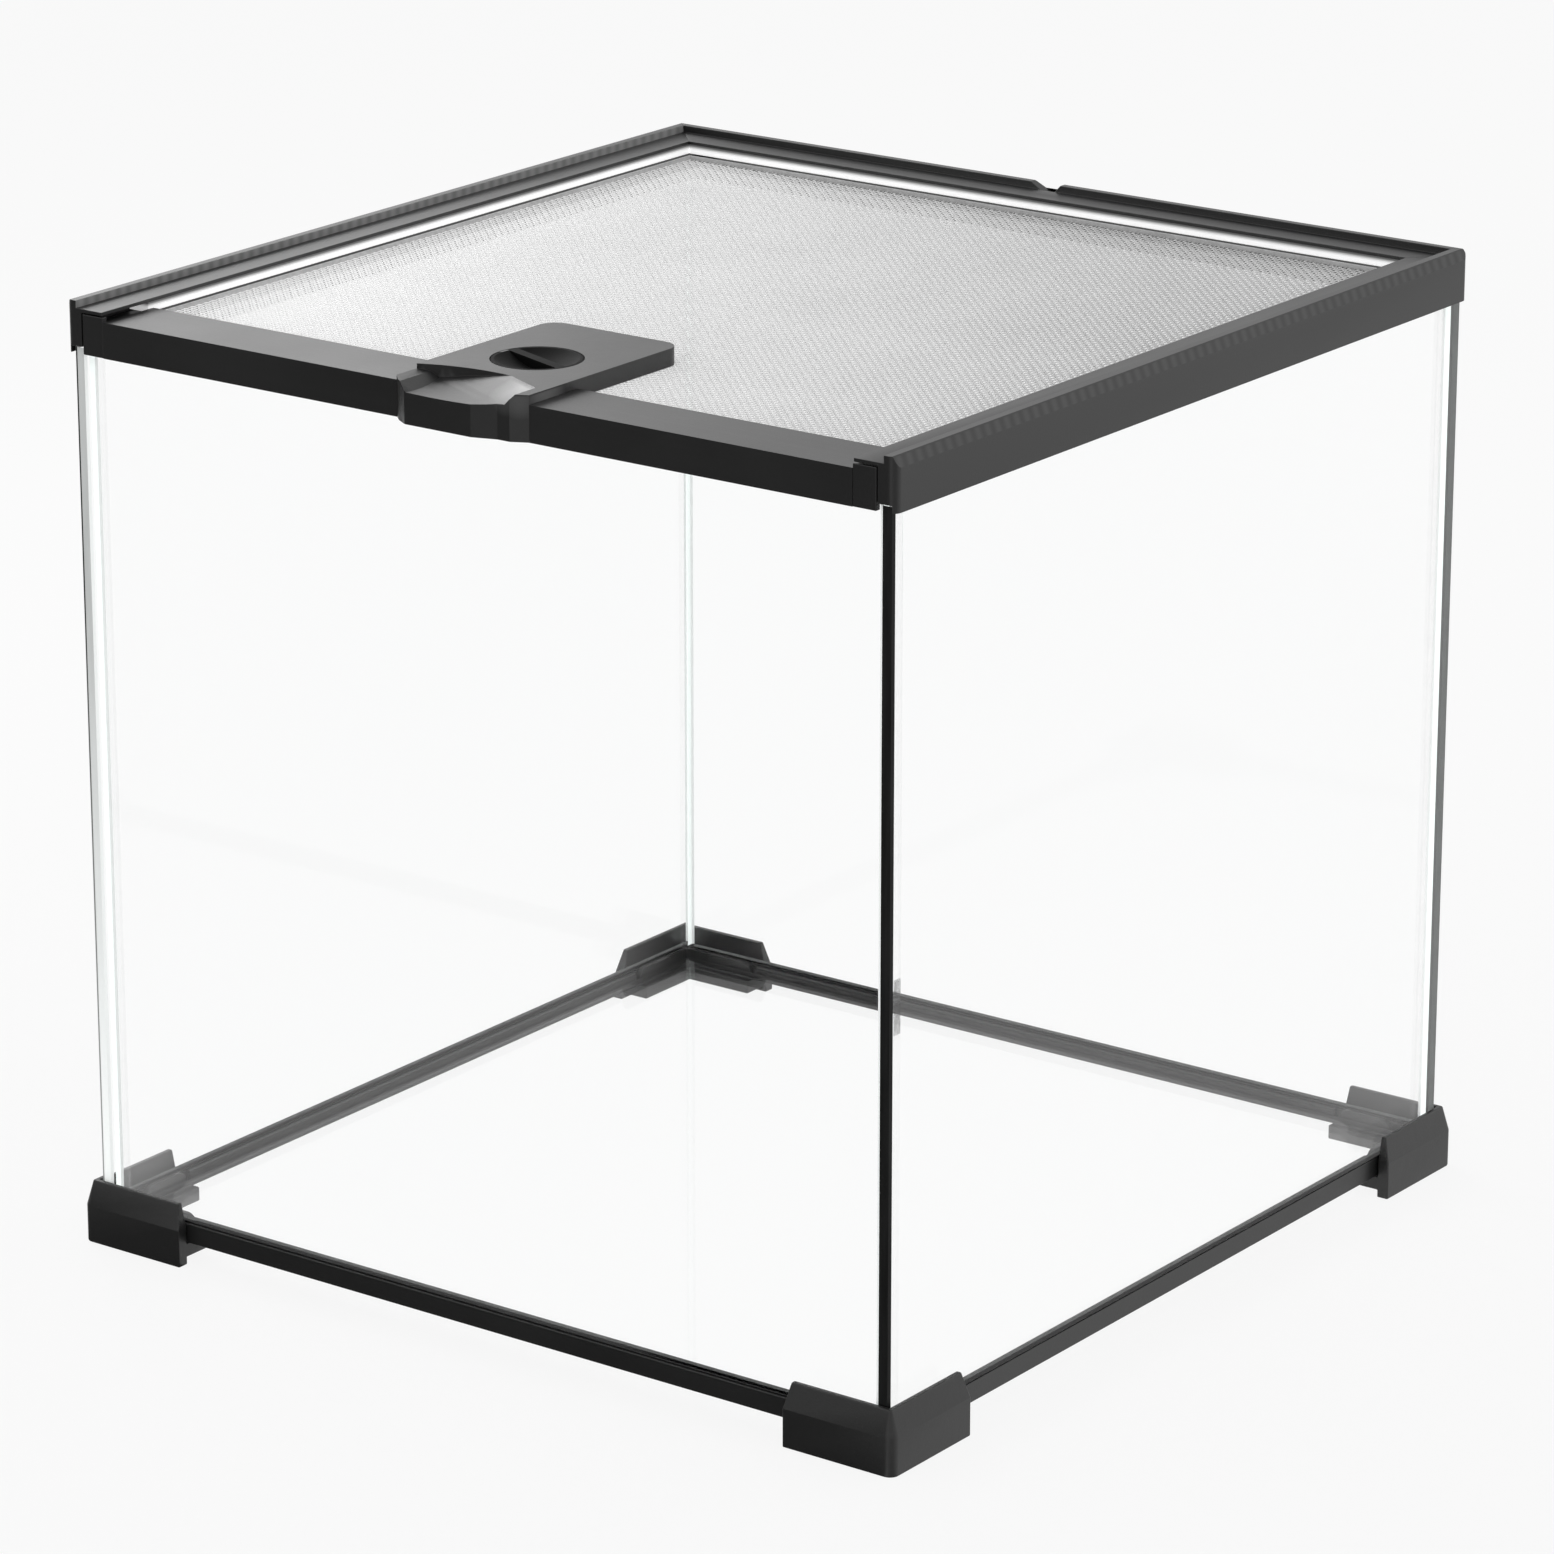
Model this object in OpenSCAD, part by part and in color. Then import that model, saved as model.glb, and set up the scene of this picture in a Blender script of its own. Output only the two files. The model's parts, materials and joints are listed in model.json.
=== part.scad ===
// Small glass terrarium with a sliding mesh lid and a turning lock.
// Millimetres, +Z up. The front, with the lock, faces -Y. The feet stand on z = 0.

/* [Tank] */
// Width across the top rails, side to side
tank_w = 200; // [160:1:320]
// Depth across the top rails, front to back
tank_d = 200; // [180:1:320]
// Height from the feet to the top of the lip
tank_h = 198.5; // [120:0.5:320]
// Radius of the upright edges of the rails
corner_r = 1.8; // [0.5:0.1:3]

/* [Glass] */
// Thickness of every pane
glass_t = 3; // [2.5:0.5:4]
// Step from the rail's outer face back to the glass
glass_inset = 1; // [0.8:0.1:1.5]
// Extra step back of the front pane, behind the lid's front
front_set = 0.6; // [0.4:0.1:1]
// Leg of the clear silicone fillet in each upright corner
seal_leg = 2.2; // [1:0.1:3]

/* [Top rails] */
// Reach of the ledge over the lid's channel
ledge_w = 5.3; // [4.5:0.1:7]
// Thickness of the ledge
ledge_t = 0.7; // [0.6:0.1:1.2]
// Height of the lip above the ledge
lip_h = 1.5; // [1:0.1:2.5]
// Distance from the rail's outer face to the lip's inner wall
lip_in = 2.7; // [2:0.1:3.5]
// Width of the sloping face along the outer top edge
chamfer_w = 0.8; // [0.4:0.1:1.2]
// Height of the sloping face along the outer top edge
chamfer_h = 2.2; // [1:0.1:3]
// Height of the free channel that the lid slides in
channel_h = 3.9; // [3.8:0.1:5]
// Thickness of the channel's floor, which caps the glass
shelf_t = 1; // [0.8:0.1:1.6]
// Depth of the skirts that hold the top edge of the glass
skirt_h = 1.5; // [1:0.1:4]
// Thickness of the inner skirt
inner_skirt_t = 1.5; // [1:0.1:2]
// Thickness of the pale slide strip under the ledge
strip_t = 2.1; // [1:0.1:2.5]
// Width of the cable notch in the back lip, at the top
notch_top_w = 7.5; // [4:0.1:12]
// Width of the cable notch at its floor
notch_floor_w = 2; // [1:0.1:3.5]
// Depth of the cable notch below the lip
notch_depth = 2.1; // [1:0.1:3]
// Lean of the notch's left side towards the left
notch_lean = 3.5; // [1:0.1:5]

/* [Base strips] */
// Height of the strips, which the upright panes stand on
base_strip_h = 4.2; // [3.8:0.1:4.6]
// Width of the strips' shoulder inside the glass
base_shoulder = 1; // [0.6:0.1:1.2]
// Rise of the silicone bead from the base pane to the shoulder
base_bead = 0.6; // [0.3:0.1:0.7]

/* [Feet] */
// Length of each leg of a corner foot
foot_len = 25.8; // [20:0.1:40]
// Thickness of a foot's outer wall
foot_wall = 2.6; // [2:0.1:4]
// Height of a foot's outer wall
foot_h = 13.2; // [11:0.1:20]
// Height at which the outer wall starts to lean in
foot_lean_z = 8; // [4:0.1:9]
// Lean of the outer wall's top
foot_lean = 1.5; // [0.5:0.1:1.9]
// Radius of a foot's upright outer edge
foot_corner_r = 2; // [1.95:0.05:2.2]
// Lean of the wall's upper part at each end of a foot
foot_end_lean = 1.1; // [0.5:0.1:3]
// Height of the foot's floor above the ground
foot_lift = 1.6; // [0.8:0.1:4]
// Thickness of the foot's floor
foot_floor_t = 3; // [2:0.1:4]
// Thickness of the flange inside the glass
flange_t = 1.3; // [1:0.1:2]
// Height of the flange above the foot's floor
flange_h = 4.8; // [4.5:0.1:6]
// Length of the flange along each leg
flange_len = 12.5; // [8:0.1:14]
// Radius of the flange's top corners
flange_r = 2.5; // [1:0.1:4]
// Reach of the foot's floor under the base pane, past the flange
pad_w = 2.4; // [1.5:0.1:4]

/* [Lid] */
// Visible width of the lid's side bars
bar_w = 6.1; // [4.5:0.1:9]
// Visible width of the lid's back bar
back_bar_w = 5.4; // [4.5:0.1:9]
// Depth of the lid's front bar, front to back
front_bar_d = 15; // [14:0.1:18]
// Thickness of the front bar's front wall
front_wall_t = 1.3; // [1.1:0.1:1.6]
// Height of the front bar's top above the side bars
front_rise = 1.2; // [0.4:0.1:1.2]
// Thickness of the rib behind the front bar and of its ends
front_rib_t = 1.3; // [1:0.1:2]
// Thickness of the mesh
mesh_t = 0.5; // [0.3:0.1:0.6]
// Depth of the mesh below the top of the lid's tongue
mesh_drop = 0.5; // [0.5:0.1:1]
// Width of mesh held under the front bar
mesh_grip = 3; // [2:0.1:4]
// Meshes along each side of the net
mesh_cells = 17; // [8:1:17]
// Width of the net's strands
mesh_wire = 1; // [0.6:0.1:2]

/* [Lock plate] */
// Half the width of the lock plate
plate_hw = 16; // [15.5:0.1:20]
// Length of the lock plate behind the front bar's face
plate_len = 47.5; // [42:0.5:60]
// Thickness of the lock plate over the mesh
plate_t = 3.6; // [3.4:0.1:4.5]
// Radius of the plate's rear corners
plate_r = 4; // [1:0.1:8]
// How far the lock plate's nose stands out from the front bar
nose_d = 3.4; // [3:0.1:5]
// Left end of the nose's flat front, from the middle
nose_left = 11.4; // [10:0.1:12]
// Right end of the nose's flat front, from the middle
nose_right = 4.6; // [4:0.1:10]
// Depth of the nose's side shoulders
nose_mid_d = 1.7; // [1:0.1:2.5]
// Radius of the finger dish's floor
dish_r = 40; // [30:1:60]
// Greatest depth of the finger dish
dish_depth = 3; // [2:0.1:3]
// Angle in plan between the dish's floor and the front bar
dish_turn = 25; // [0:1:35]
// How far the deepest line of the floor lies in front of the nose
dish_out = 2; // [0:0.1:4]
// Right end of the dish at the plate's top, from the middle
dish_right = 13.6; // [11:0.1:13.8]
// Length of the dish, front to back
dish_len = 13; // [9:0.1:13.4]
// Radius of the dish's rear wall in plan
dish_wall_r = 38; // [30:1:80]

/* [Lock knob] */
// Distance from the front bar's face back to the knob's axis
knob_back = 22.7; // [22.5:0.1:25]
// Radius of the knob
knob_r = 8.9; // [8:0.1:10]
// Thickness of the knob's disc
knob_t = 2.5; // [2.4:0.1:2.7]
// Radius of the bowl in the knob's top
bowl_r = 8.3; // [6:0.1:8.6]
// Depth of the bowl in the knob's top
bowl_depth = 1.9; // [1:0.1:2]
// Width of the grip across the bowl
grip_w = 2.2; // [2:0.1:5]
// Direction of the grip in the open position, degrees from +X
grip_angle = -19; // [-45:1:45]
// Radius of the knob's spindle
spindle_r = 3; // [2.6:0.1:3.2]
// Direction of the cam in the open position, degrees from +X
cam_angle = -33; // [-38:1:-28]
// Reach of the cam from the knob's axis
cam_reach = 16.7; // [15.8:0.1:17]
// Width of the cam's arm
cam_w = 5; // [4:0.1:6]
// Thickness of the cam
cam_t = 1.6; // [1.4:0.1:1.7]
// Radius of the cam's hub
cam_hub_r = 4.8; // [4.2:0.1:5]
// Height of the keeper above the front sill
keeper_h = 1.7; // [1.2:0.1:1.8]
// Width of the keeper
keeper_w = 6; // [4:0.1:7]

/* [Small fasteners] */
// Radius of the screws' shanks
screw_r = 1; // [0.8:0.05:1.1]
// Radius of the screws' heads
head_r = 1.4; // [1.3:0.05:1.4]
// Height of the screws' heads
head_t = 1.1; // [0.8:0.05:1.2]

/* [Clearances] */
// Gap between the lid and the rails
slide_play = 0.3; // [0.2:0.05:0.4]
// Gap between the knob and its pocket
knob_play = 0.2; // [0.2:0.05:0.5]
// Running clearance of the spindle in its bore, on the radius
spindle_play = 0.08; // [0.03:0.01:0.1]
// Clearance of pieces that are set into each other and stay there
fit_play = 0.1; // [0.05:0.01:0.15]

/* [Hidden] */
$fn = 72;
eps = 0.01;
black = [0.05, 0.05, 0.055];
clear_glass = [0.8, 0.92, 0.9, 0.3];
silicone = [0.85, 0.88, 0.88, 0.6];
pale = [0.85, 0.86, 0.84];
steel = [0.7, 0.7, 0.72];

half_w = tank_w / 2;
half_d = tank_d / 2;
crown = 0.2;
web_t = glass_inset + glass_t;
rail_w = web_t + ledge_w;
shelf_short = 0.2;

z_ledge = tank_h - lip_h;
z_roof = z_ledge - ledge_t;
z_strip = z_roof - strip_t;
z_floor = z_strip - channel_h;
z_glass = z_floor - shelf_t;
z_skirt = z_glass - skirt_h;

glass_out_x = half_w - glass_inset;
glass_out_y = half_d - glass_inset;
glass_in_x = glass_out_x - glass_t;
glass_in_y = glass_out_y - glass_t;
front_in_y = glass_in_y - front_set;

z_base_strip = foot_lift + foot_floor_t;
z_base_top = z_base_strip + glass_t;
z_wall = z_base_strip + base_strip_h;
base_gap = flange_t + 3 * fit_play;
base_x = glass_in_x - base_gap;
base_back_y = glass_in_y - base_gap;
base_front_y = front_in_y - base_gap;

foot_in_x = glass_out_x + 2 * fit_play;
foot_in_y = glass_out_y + 2 * fit_play;
foot_out_x = foot_in_x + foot_wall;
foot_out_y = foot_in_y + foot_wall;
leg_x = foot_out_x - foot_len;
leg_y = foot_out_y - foot_len;
flange_start = 1;

lid_x = half_w - rail_w - slide_play;
lid_in_x = lid_x - bar_w;
lid_y = half_d - rail_w - slide_play;
lid_in_back = lid_y - back_bar_w;
lid_in_front = half_d - front_bar_d;
tongue_x = half_w - web_t - slide_play;
tongue_y = half_d - web_t - slide_play;
z_bar = z_floor + slide_play;
z_bar_top = z_strip - slide_play;
z_mesh_top = z_bar_top - mesh_drop;
z_mesh = z_mesh_top - mesh_t;
z_front_top = z_bar_top + front_rise;
lock_gap_hw = cam_reach + 0.5;

z_plate_top = z_mesh_top + plate_t;
plate_rear = half_d - plate_len;
notch_hw = plate_hw - 2;
knob_y = -half_d + knob_back;
z_knob = z_plate_top - knob_t;
z_pocket = z_knob - knob_play;
pocket_r = knob_r + knob_play;
bore_r = spindle_r + spindle_play;
z_cam_top = z_bar + cam_t;
washer_t = 0.3;
washer_r = spindle_r + 2.2;
z_washer_top = z_cam_top + washer_t;
collar_r = spindle_r + 2.5;
z_collar = z_washer_top + spindle_play;
key_w = spindle_r * 1.1;
key_h = cam_t / 2;
keeper_x = cam_hub_r + 1.7;
keeper_y = half_d - 3.5;
sill_top_t = 0.9;
sill_d = 4.5;
sill_x = half_w - rail_w;
sill_front_y = glass_out_y - front_set;
z_sill = z_glass + sill_top_t;
nose_screw_x = 3.4;
z_nose_screw = z_bar + head_r;
rear_screw_y = -plate_rear - 5.5;
backing_r = 4.4;
backing_t = 0.5;

// Section of a top rail: distance in from the outer face, height
rail_section = [
    [0, z_skirt],
    [0, tank_h - chamfer_h],
    [chamfer_w, tank_h - crown],
    [chamfer_w + crown, tank_h],
    [lip_in, tank_h],
    [lip_in, z_ledge],
    [rail_w, z_ledge],
    [rail_w, z_roof],
    [web_t, z_roof],
    [web_t, z_floor],
    [rail_w - shelf_short, z_floor],
    [rail_w - shelf_short, z_glass],
    [web_t + fit_play / 2 + inner_skirt_t, z_glass],
    [web_t + fit_play / 2 + inner_skirt_t, z_skirt],
    [web_t + fit_play / 2, z_skirt],
    [web_t + fit_play / 2, z_glass],
    [glass_inset - fit_play / 2, z_glass],
    [glass_inset - fit_play / 2, z_skirt]
];

// Section of a lid bar: distance in from the tongue's edge, height
module bar_section(tongue, reach) {
    polygon([
        [0, z_bar],
        [0, z_bar_top],
        [tongue, z_bar_top],
        [tongue, z_mesh],
        [reach, z_mesh],
        [reach, z_bar]
    ]);
}

// Box between two corners
module block(low, high) {
    translate(low) cube(high - low);
}

// A flat section carried along Y, its first coordinate running from x = 0 to -x
module along_y(length) {
    translate([0, length / 2, 0])
        rotate([90, 0, 0])
            linear_extrude(length)
                mirror([1, 0])
                    children();
}

// A flat section carried along X, its first coordinate running from y = 0 to -y
module along_x(length) {
    rotate([0, 0, 90]) along_y(length) children();
}

// Tank outline in plan with rounded upright edges
module rail_plan() {
    square([tank_w - 2 * corner_r, tank_d], center = true);
    square([tank_w, tank_d - 2 * corner_r], center = true);
    for (sx = [-1, 1], sy = [-1, 1])
        translate([sx * (half_w - corner_r), sy * (half_d - corner_r)])
            circle(corner_r);
}

// Right-hand rail, mitred at the back
module side_rail() {
    mitre = rail_w + 1;
    color(black)
        difference() {
            intersection() {
                translate([half_w, 0, 0]) along_y(tank_d) polygon(rail_section);
                linear_extrude(tank_h + 1)
                    intersection() {
                        rail_plan();
                        polygon([
                            [half_w, -half_d],
                            [half_w, half_d],
                            [half_w - mitre, half_d - mitre],
                            [half_w - mitre, -half_d]
                        ]);
                    }
            }
            block(
                [half_w - rail_w, -half_d - 1, z_skirt - 1],
                [glass_in_x + eps, -front_in_y + fit_play, z_glass]
            );
            block(
                [half_w - rail_w - 1, -half_d - 1, z_skirt - 1],
                [glass_in_x, front_wall_t + slide_play - half_d, z_floor + eps]
            );
        }
}

module left_rail() {
    mirror([1, 0, 0]) side_rail();
}

module right_rail() {
    side_rail();
}

// Back rail with the cable notch in the middle of its lip
module back_rail() {
    mitre = rail_w + 1;
    notch_z = tank_h - notch_depth;
    color(black)
        difference() {
            intersection() {
                translate([0, half_d, 0]) along_x(tank_w) polygon(rail_section);
                linear_extrude(tank_h + 1)
                    intersection() {
                        rail_plan();
                        polygon([
                            [-half_w, half_d],
                            [half_w, half_d],
                            [half_w - mitre, half_d - mitre],
                            [mitre - half_w, half_d - mitre]
                        ]);
                    }
            }
            translate([0, half_d + 1, 0])
                rotate([90, 0, 0])
                    linear_extrude(lip_in + 1)
                        polygon([
                            [-notch_floor_w, notch_z],
                            [0, notch_z],
                            [notch_top_w - notch_lean - notch_floor_w, tank_h + eps],
                            [-notch_floor_w - notch_lean, tank_h + eps]
                        ]);
        }
}

// Cap on the front pane
module front_sill() {
    color(black)
        union() {
            block([-sill_x, -sill_front_y, z_glass], [sill_x, sill_d - sill_front_y, z_sill]);
            block(
                [-sill_x, fit_play - front_in_y, z_skirt],
                [sill_x, sill_d - sill_front_y, z_glass + eps]
            );
        }
}

// Block on the sill that the cam hooks behind
module lock_keeper() {
    color(black)
        difference() {
            block(
                [-keeper_x - keeper_w, -keeper_y, z_sill],
                [-keeper_x, sill_d - sill_front_y, z_sill + keeper_h]
            );
            translate([0, knob_y, z_sill - 1])
                cylinder(r = cam_reach + slide_play, h = keeper_h + 2);
        }
}

// Pale strip bonded under the ledge of a side rail
module side_slide_strip() {
    color(pale)
        block(
            [half_w - rail_w + shelf_short, -lid_in_front - 1, z_strip],
            [half_w - web_t - fit_play, half_d - web_t - fit_play, z_roof]
        );
}

module left_slide_strip() {
    mirror([1, 0, 0]) side_slide_strip();
}

module right_slide_strip() {
    side_slide_strip();
}

module back_slide_strip() {
    reach = half_w - rail_w + shelf_short;
    color(pale)
        block(
            [-reach, half_d - rail_w + shelf_short, z_strip],
            [reach, half_d - web_t - fit_play, z_roof]
        );
}

module front_pane() {
    color(clear_glass)
        block([-glass_in_x, front_set - glass_out_y, z_wall], [glass_in_x, -front_in_y, z_glass]);
}

module back_pane() {
    color(clear_glass)
        block([-glass_in_x, glass_in_y, z_wall], [glass_in_x, glass_out_y, z_glass]);
}

module left_pane() {
    color(clear_glass)
        block([-glass_out_x, -glass_out_y, z_wall], [-glass_in_x, glass_out_y, z_glass]);
}

module right_pane() {
    color(clear_glass)
        block([glass_in_x, -glass_out_y, z_wall], [glass_out_x, glass_out_y, z_glass]);
}

module base_pane() {
    color(clear_glass)
        block([-base_x, -base_front_y, z_base_strip], [base_x, base_back_y, z_base_top]);
}

// Silicone fillet in an upright corner: side is -1 or 1 in X
module corner_seal(side, corner_y, toward) {
    color(silicone)
        translate([side * glass_in_x, corner_y, z_wall])
            linear_extrude(z_skirt - z_wall)
                scale([-side, toward])
                    difference() {
                        square(seal_leg);
                        translate([seal_leg, seal_leg]) circle(seal_leg - 0.3);
                        translate([seal_leg, 0.3]) square(seal_leg);
                        translate([0.3, seal_leg]) square(seal_leg);
                    }
}

module seal_front_left() {
    corner_seal(-1, -front_in_y, 1);
}

module seal_front_right() {
    corner_seal(1, -front_in_y, 1);
}

module seal_back_left() {
    corner_seal(-1, glass_in_y, -1);
}

module seal_back_right() {
    corner_seal(1, glass_in_y, -1);
}

// Bead of silicone along Y, from the base pane's edge to the shoulder of the strip
module base_bead(edge, face, run) {
    translate([0, run, 0])
        rotate([90, 0, 0])
            linear_extrude(2 * run)
                polygon([
                    [edge, z_base_strip],
                    [face, z_base_strip],
                    [face, z_base_top + base_bead],
                    [edge, z_base_top]
                ]);
}

// Silicone between the base pane and the base strips, between the feet
module base_seal() {
    run_x = leg_x - 2 * fit_play;
    run_y = leg_y - 2 * fit_play;
    color(silicone)
        union() {
            for (side = [-1, 1])
                scale([side, 1, 1])
                    base_bead(base_x, glass_in_x - base_shoulder, run_y);
            mirror([1, -1, 0])
                base_bead(base_back_y, glass_in_y - base_shoulder, run_x);
            mirror([0, 1, 0])
                mirror([1, -1, 0])
                    base_bead(base_front_y, glass_in_y - base_shoulder, run_x);
        }
}

// Base strip along X at the back: a bar under the wall with a shoulder inside the glass
module end_base_strip() {
    bar_x = glass_out_x - fit_play;
    run_x = leg_x - 2 * fit_play;
    color(black)
        union() {
            block([-bar_x, glass_in_y, z_base_strip], [bar_x, glass_out_y - fit_play, z_wall]);
            block(
                [-run_x, glass_in_y - base_shoulder, z_base_strip],
                [run_x, glass_in_y + eps, z_wall]
            );
        }
}

// Base strip along Y on the right
module side_base_strip() {
    run_y = leg_y - 2 * fit_play;
    color(black)
        union() {
            block(
                [glass_in_x, -glass_in_y, z_base_strip],
                [glass_out_x - fit_play, glass_in_y, z_wall]
            );
            block(
                [glass_in_x - base_shoulder, -run_y, z_base_strip],
                [glass_in_x + eps, run_y, z_wall]
            );
        }
}

module front_base_strip() {
    mirror([0, 1, 0]) end_base_strip();
}

module back_base_strip() {
    end_base_strip();
}

module left_base_strip() {
    mirror([1, 0, 0]) side_base_strip();
}

module right_base_strip() {
    side_base_strip();
}

// Section of a foot's outer wall: distance out from a line, height
module foot_section(inner, outer) {
    polygon([
        [inner, 0],
        [outer, 0],
        [outer, foot_lean_z],
        [outer - foot_lean, foot_h],
        [inner, foot_h]
    ]);
}

// Space above the sloping end of a foot's leg, which runs from start towards +Y
module end_slope(start, outer) {
    translate([outer - foot_len, start, 0])
        rotate([90, 0, 90])
            linear_extrude(foot_len + 1)
                polygon([
                    [-1, foot_lean_z],
                    [0, foot_lean_z],
                    [foot_end_lean, foot_h],
                    [foot_end_lean, foot_h + 1],
                    [-1, foot_h + 1]
                ]);
}

// One leg of the back right foot, running along Y: wall outside, floor and flange inside
module foot_leg(out_x, in_x, wall_in, start, corner_y, set) {
    face = wall_in - set - fit_play;
    difference() {
        translate([0, corner_y, 0])
            rotate([90, 0, 0])
                linear_extrude(corner_y - start)
                    foot_section(in_x, out_x);
        end_slope(start, out_x);
    }
    block([face - flange_t - pad_w, start, foot_lift], [in_x + eps, corner_y, z_base_strip]);
    difference() {
        block(
            [face - flange_t, start + flange_start, z_base_strip - eps],
            [face, start + flange_start + flange_len, z_base_strip + flange_h]
        );
        translate([0, start + flange_start, z_base_strip + flange_h - flange_r])
            rotate([90, 0, 90])
                linear_extrude(out_x)
                    difference() {
                        translate([-1, 0]) square([flange_len + 2, flange_r + 1]);
                        translate([flange_r, 0]) circle(flange_r);
                        translate([flange_len - flange_r, 0]) circle(flange_r);
                        translate([flange_r, -1])
                            square([flange_len - 2 * flange_r, flange_r + 1]);
                    }
    }
}

// Corner foot for the back right; front_step is the extra set-back of the glass on its Y side
module corner_foot(front_step) {
    post_x = foot_out_x - foot_corner_r;
    post_y = foot_out_y - foot_corner_r;
    color(black)
        union() {
            foot_leg(foot_out_x, foot_in_x, glass_in_x, leg_y, post_y, 0);
            mirror([1, -1, 0])
                foot_leg(foot_out_y, foot_in_y, glass_in_y, leg_x, post_x, front_step);
            intersection() {
                translate([post_x, post_y, 0])
                    rotate_extrude()
                        foot_section(0, foot_corner_r);
                block([post_x, post_y, -1], [foot_out_x + 1, foot_out_y + 1, foot_h + 1]);
            }
        }
}

module foot_back_right() {
    corner_foot(0);
}

module foot_back_left() {
    mirror([1, 0, 0]) corner_foot(0);
}

module foot_front_right() {
    mirror([0, 1, 0]) corner_foot(front_set);
}

module foot_front_left() {
    mirror([1, 0, 0]) mirror([0, 1, 0]) corner_foot(front_set);
}

// Right-hand lid bar with the tongue that runs in the rail's channel
module side_bar() {
    run = tongue_y + lid_in_front;
    color(black)
        union() {
            translate([tongue_x, (tongue_y - lid_in_front) / 2, 0])
                along_y(run)
                    bar_section(tongue_x - lid_x, tongue_x - lid_in_x);
            block([lid_x, front_wall_t - half_d, z_bar], [tongue_x, eps - lid_in_front, z_bar_top]);
        }
}

module lid_left_bar() {
    mirror([1, 0, 0]) side_bar();
}

module lid_right_bar() {
    side_bar();
}

module lid_back_bar() {
    color(black)
        translate([0, tongue_y, 0])
            along_x(2 * lid_in_x)
                bar_section(tongue_y - lid_y, tongue_y - lid_in_back);
}

// Front bar: a hollow bar with a deep front wall, open below
module lid_front_bar() {
    rib_y = mesh_grip - lid_in_front - mesh_grip * 2;
    color(black)
        difference() {
            union() {
                block([-lid_x, -half_d, z_skirt], [lid_x, front_wall_t - half_d, z_front_top]);
                block([-lid_x, -half_d, z_mesh_top], [lid_x, -lid_in_front, z_front_top]);
                block([-lid_x, rib_y - front_rib_t, z_bar], [lid_x, rib_y, z_mesh_top + eps]);
                for (side = [-1, 1])
                    scale([side, 1, 1])
                        block(
                            [lid_x - front_rib_t, eps - half_d, z_bar],
                            [lid_x, rib_y, z_mesh_top + eps]
                        );
            }
            block([-notch_hw, -half_d - 1, z_mesh_top], [notch_hw, 1 - lid_in_front, z_front_top + 1]);
            block([-lock_gap_hw, front_wall_t - half_d, z_bar - 1], [lock_gap_hw, 0, z_mesh_top]);
            for (side = [-1, 1])
                translate([side * nose_screw_x, 1 - half_d + front_wall_t, z_nose_screw])
                    rotate([90, 0, 0])
                        cylinder(r = screw_r + fit_play, h = front_wall_t + 2);
        }
}

// Caps on the ends of the front bar, which close the mouths of the rails
module lid_end_caps() {
    color(black)
        union() {
            for (side = [-1, 1])
                scale([side, 1, 1])
                    block(
                        [lid_x, -half_d, z_skirt],
                        [tongue_x, front_wall_t - half_d, z_roof - slide_play]
                    );
        }
}

// Flat net, bonded on the side and back bars and clamped under the front bar
module lid_mesh() {
    net_x = lid_x - fit_play;
    net_y = lid_y - fit_play;
    open_x = 2 * lid_in_x;
    open_y = lid_in_back + lid_in_front;
    pitch_x = (open_x + mesh_wire) / mesh_cells;
    pitch_y = (open_y + mesh_wire) / mesh_cells;
    color(steel)
        translate([0, 0, z_mesh])
            linear_extrude(mesh_t)
                difference() {
                    translate([-net_x, -lid_in_front])
                        square([2 * net_x, net_y + lid_in_front]);
                    translate([-lid_in_x, -lid_in_front - mesh_grip])
                        square([open_x, mesh_grip + 1]);
                    for (i = [0 : mesh_cells - 1], j = [0 : mesh_cells - 1])
                        translate([i * pitch_x - lid_in_x, j * pitch_y - lid_in_front])
                            square([pitch_x - mesh_wire, pitch_y - mesh_wire]);
                    translate([0, knob_y]) circle(collar_r + knob_play);
                    translate([0, rear_screw_y]) circle(screw_r + fit_play);
                }
}

// Two strips that hold the edge of the net under the front bar
module mesh_strip_front() {
    color(black)
        union() {
            for (side = [-1, 1])
                scale([side, 1, 1])
                    block(
                        [lock_gap_hw, -lid_in_front - mesh_grip, z_bar],
                        [lid_in_x, -lid_in_front, z_mesh]
                    );
        }
}

// Lock plate in plan, behind the front bar's face
module plate_plan() {
    translate([-plate_hw, -half_d]) square([2 * plate_hw, plate_len - plate_r]);
    translate([plate_r - plate_hw, -half_d]) square([2 * (plate_hw - plate_r), plate_len]);
    for (side = [-1, 1])
        translate([side * (plate_hw - plate_r), -plate_rear - plate_r])
            circle(plate_r);
}

// Nose in plan, in front of the front bar's face, with a shoulder on the right
module nose_plan() {
    step = plate_hw - nose_right;
    polygon([
        [-plate_hw, -half_d],
        [-plate_hw + 1.8, -half_d - nose_mid_d],
        [-nose_left, -half_d - nose_d],
        [nose_right, -half_d - nose_d],
        [nose_right + 0.45 * step, -half_d - nose_mid_d],
        [nose_right + 0.7 * step, -half_d - nose_mid_d],
        [plate_hw, -half_d]
    ]);
}

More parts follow.
